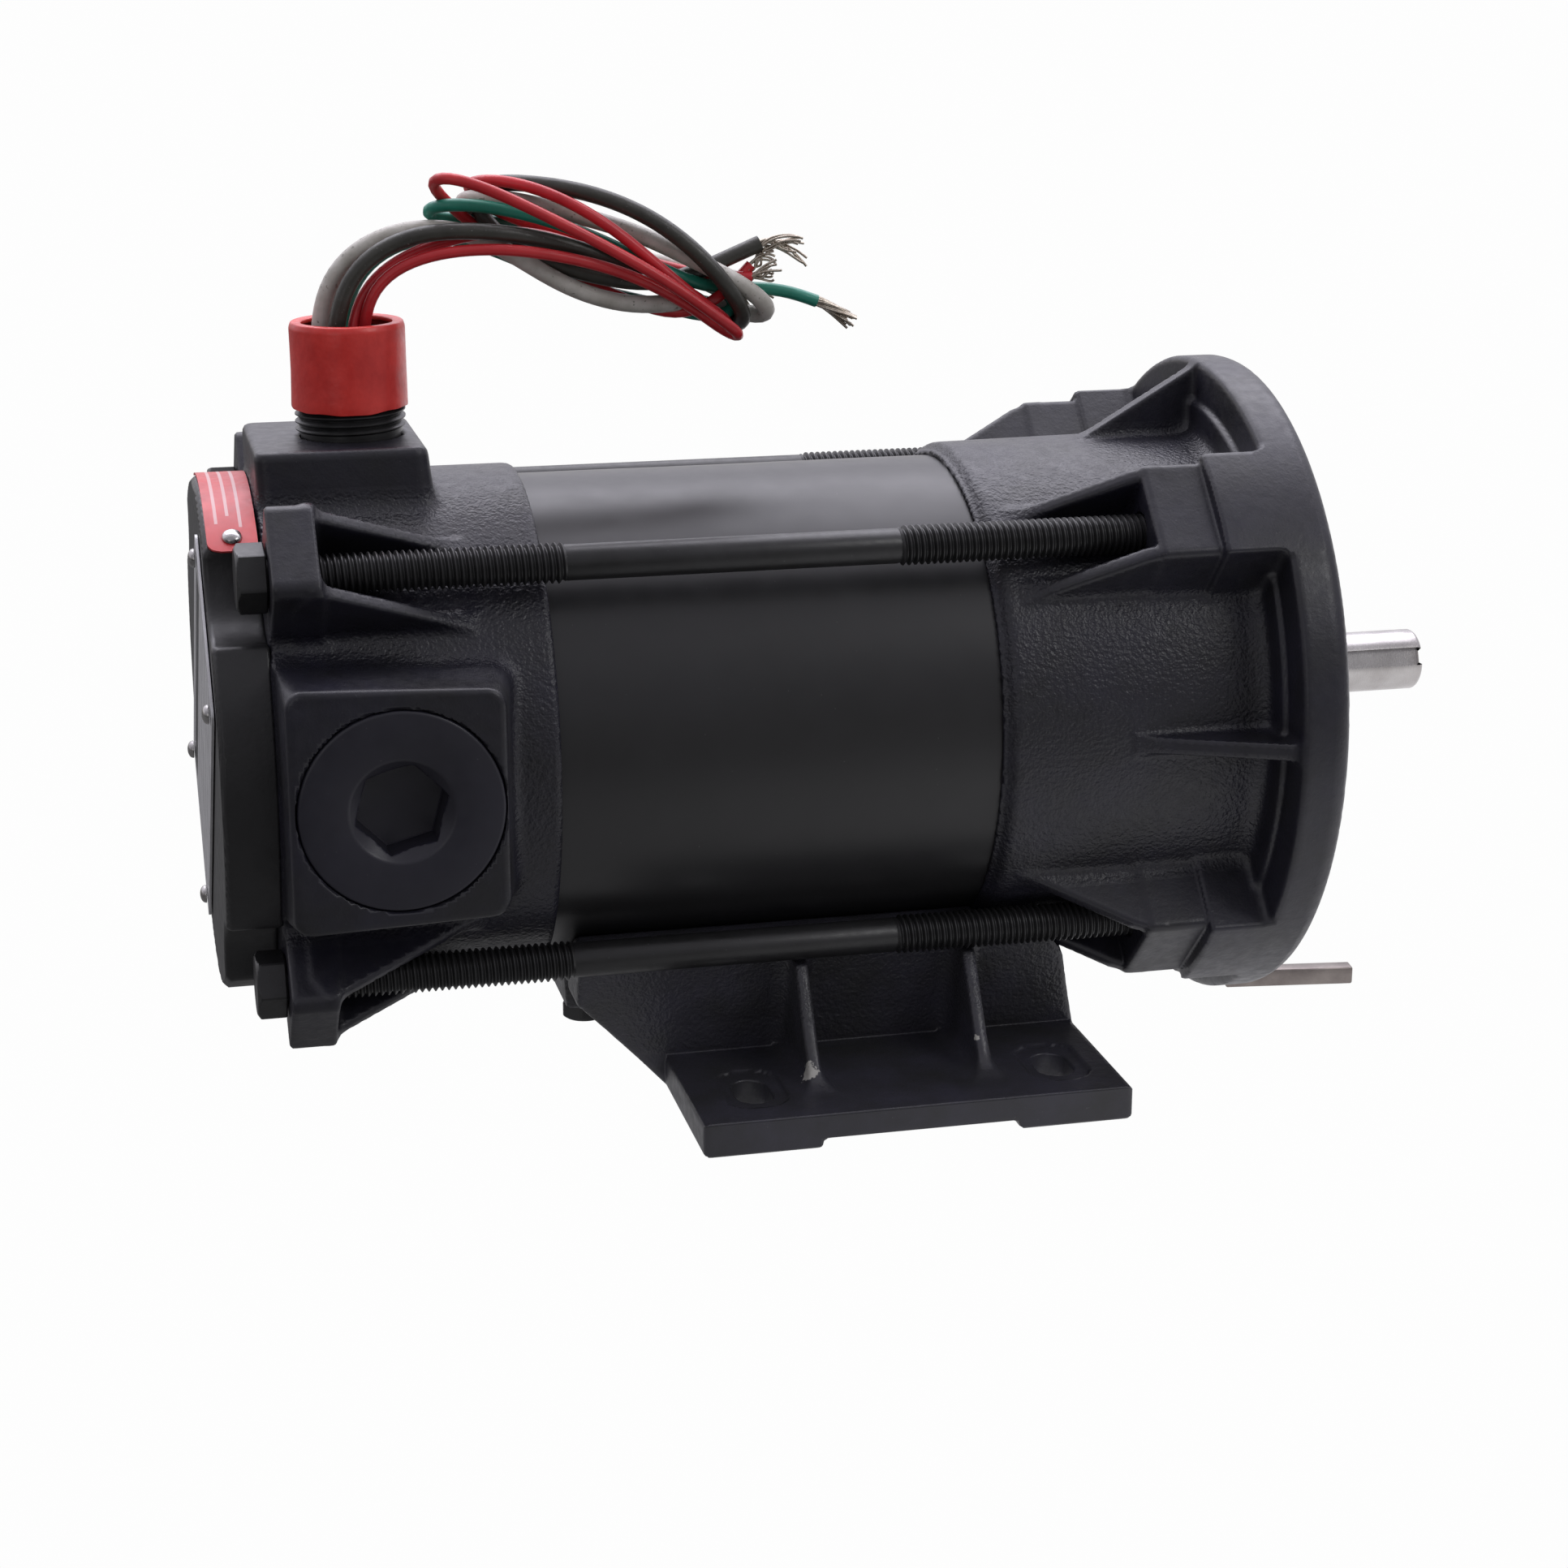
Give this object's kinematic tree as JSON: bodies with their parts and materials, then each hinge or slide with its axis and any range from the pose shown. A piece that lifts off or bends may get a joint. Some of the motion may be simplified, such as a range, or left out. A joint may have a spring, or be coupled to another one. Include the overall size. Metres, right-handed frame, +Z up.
{
  "type": "electric motor",
  "caption": "Foot-mounted, C-face direct-current motor with a totally enclosed black frame, side brush plugs, a keyed shaft and free leads from a top conduit nipple.",
  "frame": {"origin": "middle of the object's footprint, on the floor its feet stand on", "axes": "+X along the shaft towards its free end, +Z up, +Y completes the right-handed set (away from the side with the label's rivet)"},
  "size_m": [0.3206, 0.1652, 0.2235],
  "materials": {
    "cast_black": "satin black over a sand-cast grain",
    "smooth_black": "satin black over a smooth surface",
    "bolt_black": "black oxide, slightly oily",
    "steel": "ground bright steel",
    "bright_plate": "brushed bright plate",
    "copper": null,
    "enamel": "varnished enamel wire",
    "lamination": "stacked dark sheet steel",
    "ferrite": "dull ceramic magnet",
    "carbon": "matte carbon",
    "phenolic": "matte phenolic board",
    "brass": "plain brass",
    "red_cap": "soft moulded red plastic",
    "red_label": "red printed foil with pale rules",
    "compound": "poured sealing compound",
    "rubber": "matte rubber",
    "lead_white": "dusty off-white lead sheath",
    "lead_black": "brownish black lead sheath",
    "lead_red": "shiny red lead sheath",
    "lead_green": "shiny green lead sheath",
    "lead_bundle": "hank of mixed leads"
  },
  "bodies": {
    "motor": {"frame_shell": "smooth_black", "rear_end_bell": "cast_black", "front_end_bell": "cast_black", "foot_base": "cast_black", "base_bolt_rear": "bolt_black", "base_bolt_front": "bolt_black", "rear_cover": "cast_black", "nameplate": "bright_plate", "red_label": "red_label", "label_rivet": "steel", "nameplate_pin_1": "steel", "nameplate_pin_2": "steel", "nameplate_pin_3": "steel", "nameplate_pin_4": "steel", "through_bolt_1": "bolt_black", "through_bolt_2": "bolt_black", "through_bolt_3": "bolt_black", "through_bolt_4": "bolt_black", "conduit_nipple": "smooth_black", "thread_protector": "red_cap", "lead_seal": "compound", "magnet_1": "ferrite", "magnet_2": "ferrite", "brush_ring": "phenolic", "brush_holder_near": "brass", "brush_holder_far": "brass", "brush_spring_near": "steel", "brush_spring_far": "steel", "wave_washer": "steel", "shaft_seal": "rubber", "front_bearing_outer": "steel", "rear_bearing_outer": "steel", "lead_white": "lead_white", "lead_black": "lead_black", "lead_red_1": "lead_red", "lead_red_2": "lead_red", "lead_green": "lead_green", "lead_hank": "lead_bundle"},
    "rotor": {"shaft": "steel", "armature_core": "lamination", "armature_winding": "enamel", "commutator": "copper", "front_bearing_inner": "steel", "rear_bearing_inner": "steel", "front_bearing_balls": "steel", "rear_bearing_balls": "steel", "retaining_ring": "steel"},
    "brush_near_body": {"brush_near": "carbon"},
    "brush_far_body": {"brush_far": "carbon"},
    "plug_near_body": {"brush_plug_near": "smooth_black"},
    "plug_far_body": {"brush_plug_far": "smooth_black"},
    "key_body": {"shaft_key": "steel"}
  },
  "joints": [
    {"name": "rotor_spin", "type": "hinge", "parent": "motor", "child": "rotor", "pos_m": [0, 0, 0.0889], "axis": [1, 0, 0], "continuous": true},
    {"name": "brush_near_slide", "type": "slide", "parent": "motor", "child": "brush_near_body", "axis": [0, -1, 0], "range_m": [0, 0.006], "stiffness_N_per_m": 150, "springref_m": -0.01, "deforming": ["brush_spring_near"]},
    {"name": "brush_far_slide", "type": "slide", "parent": "motor", "child": "brush_far_body", "axis": [0, 1, 0], "range_m": [0, 0.006], "stiffness_N_per_m": 150, "springref_m": -0.01, "deforming": ["brush_spring_far"]},
    {"name": "plug_near_unscrew", "type": "slide", "parent": "motor", "child": "plug_near_body", "axis": [0, -1, 0], "range_m": [0, 0.03]},
    {"name": "plug_far_unscrew", "type": "slide", "parent": "motor", "child": "plug_far_body", "axis": [0, 1, 0], "range_m": [0, 0.03]},
    {"name": "key_lift", "type": "slide", "parent": "motor", "child": "key_body", "axis": [0, 0, 1], "range_m": [0, 0.02]}
  ]
}
